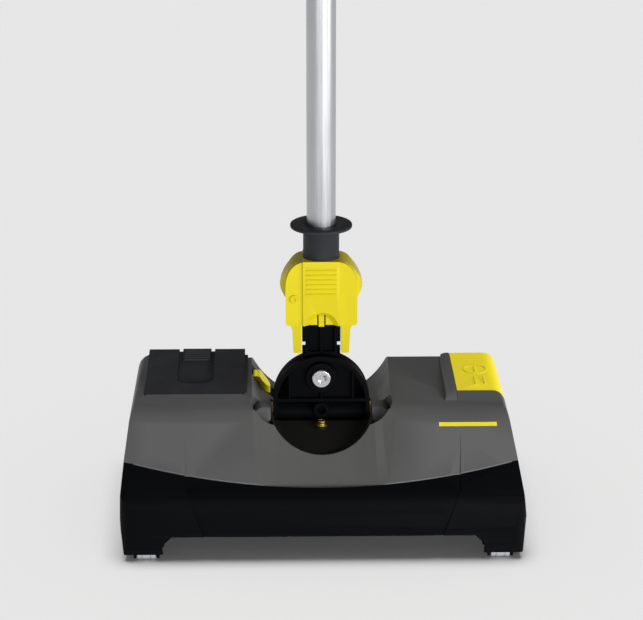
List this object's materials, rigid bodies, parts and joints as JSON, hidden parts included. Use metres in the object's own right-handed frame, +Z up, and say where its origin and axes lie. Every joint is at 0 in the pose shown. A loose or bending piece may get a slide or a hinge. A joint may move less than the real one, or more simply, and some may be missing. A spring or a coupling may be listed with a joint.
{
  "type": "upright electric sweeper",
  "caption": "Battery-powered upright sweeper: wide grey and black floor head with brush roller and dust bin, and a telescopic pole on a tilt-and-swivel joint with a yellow lock sleeve.",
  "frame": {"origin": "centre of the bounding box on the floor, under the middle of the head", "axes": "+Z up along the parked pole, +X to the right of the head, +Y to the back; the bumper faces -Y"},
  "size_m": [0.385, 0.2401, 1.175],
  "materials": {
    "cover_grey": "moulded charcoal-grey plastic, fine satin texture",
    "body_black": "moulded black plastic, satin",
    "trim_dark": "dark grey textured plastic",
    "signal_yellow": "glossy yellow plastic",
    "tube_aluminium": "drawn aluminium tube, satin",
    "bright_steel": "plated steel",
    "screw_brass": "brass",
    "wheel_grey": "light grey nylon",
    "bush_amber": "amber bearing plastic",
    "bristle_nylon": "nylon bristle",
    "soft_rubber": "soft rubber",
    "board_green": "circuit board"
  },
  "bodies": {
    "head": {"top_cover": "cover_grey", "front_bumper": "body_black", "side_cover_right": "body_black", "side_cover_left": "body_black", "chassis": "body_black", "rear_panel": "body_black", "front_axle_right": "bright_steel", "front_axle_left": "bright_steel", "rear_axle_right": "bright_steel", "rear_axle_left": "bright_steel", "drive_belt": "soft_rubber", "roller_bearing_right": "screw_brass", "roller_bearing_left": "screw_brass", "drive_motor": "bright_steel", "sealing_lip": "soft_rubber", "pivot_housing": "body_black", "trunnion_lug_right": "cover_grey", "trunnion_lug_left": "cover_grey", "pivot_bush_right": "bush_amber", "pivot_bush_left": "bush_amber", "pivot_shaft": "bright_steel", "bowl_screw": "screw_brass", "lever_pin": "bright_steel", "battery_contact_right": "screw_brass", "battery_contact_left": "screw_brass", "switch_pin": "bright_steel", "switch_spring": "bright_steel", "microswitch": "trim_dark", "switch_ramp": "cover_grey", "circuit_board": "board_green"},
    "brush": {"brush_roller": "trim_dark", "brush_bristles": "bristle_nylon", "brush_pulley": "trim_dark"},
    "rotor": {"motor_pulley": "bright_steel", "motor_shaft": "bright_steel"},
    "wheel_fr": {"front_wheel_right": "wheel_grey"},
    "wheel_fl": {"front_wheel_left": "wheel_grey"},
    "wheel_rr": {"rear_wheel_right": "wheel_grey"},
    "wheel_rl": {"rear_wheel_left": "wheel_grey"},
    "battery": {"battery_pack": "trim_dark"},
    "bin": {"dust_bin": "trim_dark"},
    "pedal": {"foot_switch": "signal_yellow"},
    "lever": {"release_lever": "signal_yellow"},
    "yoke": {"knuckle": "body_black", "swivel_bolt": "bright_steel", "swivel_nut": "bright_steel"},
    "pole": {"joint_post": "body_black", "collar": "trim_dark", "lower_tube": "tube_aluminium"},
    "sleeve": {"lock_sleeve": "signal_yellow", "sleeve_screw": "signal_yellow"},
    "clamp": {"clamp_collar": "trim_dark"},
    "handle": {"upper_tube": "tube_aluminium", "hand_grip": "soft_rubber", "end_cap": "body_black"}
  },
  "joints": [
    {"name": "brush_spin", "type": "hinge", "parent": "head", "child": "brush", "pos_m": [0, -0.058, 0.029], "axis": [1, 0, 0], "continuous": true},
    {"name": "rotor_spin", "type": "hinge", "parent": "head", "child": "rotor", "pos_m": [0, 0.03, 0.044], "axis": [1, 0, 0], "continuous": true},
    {"name": "wheel_spin_fr", "type": "hinge", "parent": "head", "child": "wheel_fr", "pos_m": [0.1683, -0.1085, 0.0055], "axis": [1, 0, 0], "continuous": true},
    {"name": "wheel_spin_fl", "type": "hinge", "parent": "head", "child": "wheel_fl", "pos_m": [-0.1683, -0.1085, 0.0055], "axis": [1, 0, 0], "continuous": true},
    {"name": "wheel_spin_rr", "type": "hinge", "parent": "head", "child": "wheel_rr", "pos_m": [0.166, 0.092, 0.013], "axis": [1, 0, 0], "continuous": true},
    {"name": "wheel_spin_rl", "type": "hinge", "parent": "head", "child": "wheel_rl", "pos_m": [-0.166, 0.092, 0.013], "axis": [1, 0, 0], "continuous": true},
    {"name": "battery_lift", "type": "slide", "parent": "head", "child": "battery", "axis": [0, 0, 1], "range_m": [0, 0.06]},
    {"name": "bin_slide", "type": "slide", "parent": "head", "child": "bin", "axis": [0, 1, 0], "range_m": [0, 0.15]},
    {"name": "pedal_press", "type": "hinge", "parent": "head", "child": "pedal", "pos_m": [0.16, 0.023, 0.112], "axis": [-1, 0, 0], "range_deg": [0, 2], "stiffness_Nm_per_rad": 15},
    {"name": "lever_press", "type": "hinge", "parent": "head", "child": "lever", "pos_m": [-0.0664, 0.087, 0.11], "axis": [0, 1, 0], "range_deg": [0, 7], "stiffness_Nm_per_rad": 0.6},
    {"name": "handle_tilt", "type": "hinge", "parent": "head", "child": "yoke", "pos_m": [0, 0.02, 0.098], "axis": [-1, 0, 0], "range_deg": [0, 68]},
    {"name": "handle_swivel", "type": "hinge", "parent": "yoke", "child": "pole", "pos_m": [0, 0.02, 0.139], "axis": [0, 1, 0], "range_deg": [-28, 28]},
    {"name": "lock_slide", "type": "slide", "parent": "pole", "child": "sleeve", "axis": [0, 0, -1], "range_m": [0, 0.022]},
    {"name": "clamp_twist", "type": "hinge", "parent": "pole", "child": "clamp", "pos_m": [0, 0.02, 0.7], "axis": [0, 0, 1], "range_deg": [0, 90]},
    {"name": "handle_extend", "type": "slide", "parent": "pole", "child": "handle", "axis": [0, 0, 1], "range_m": [-0.22, 0.06]}
  ],
  "couplings": [
    {"joint": "rotor_spin", "follows": "brush_spin", "ratio": 1.7143}
  ]
}
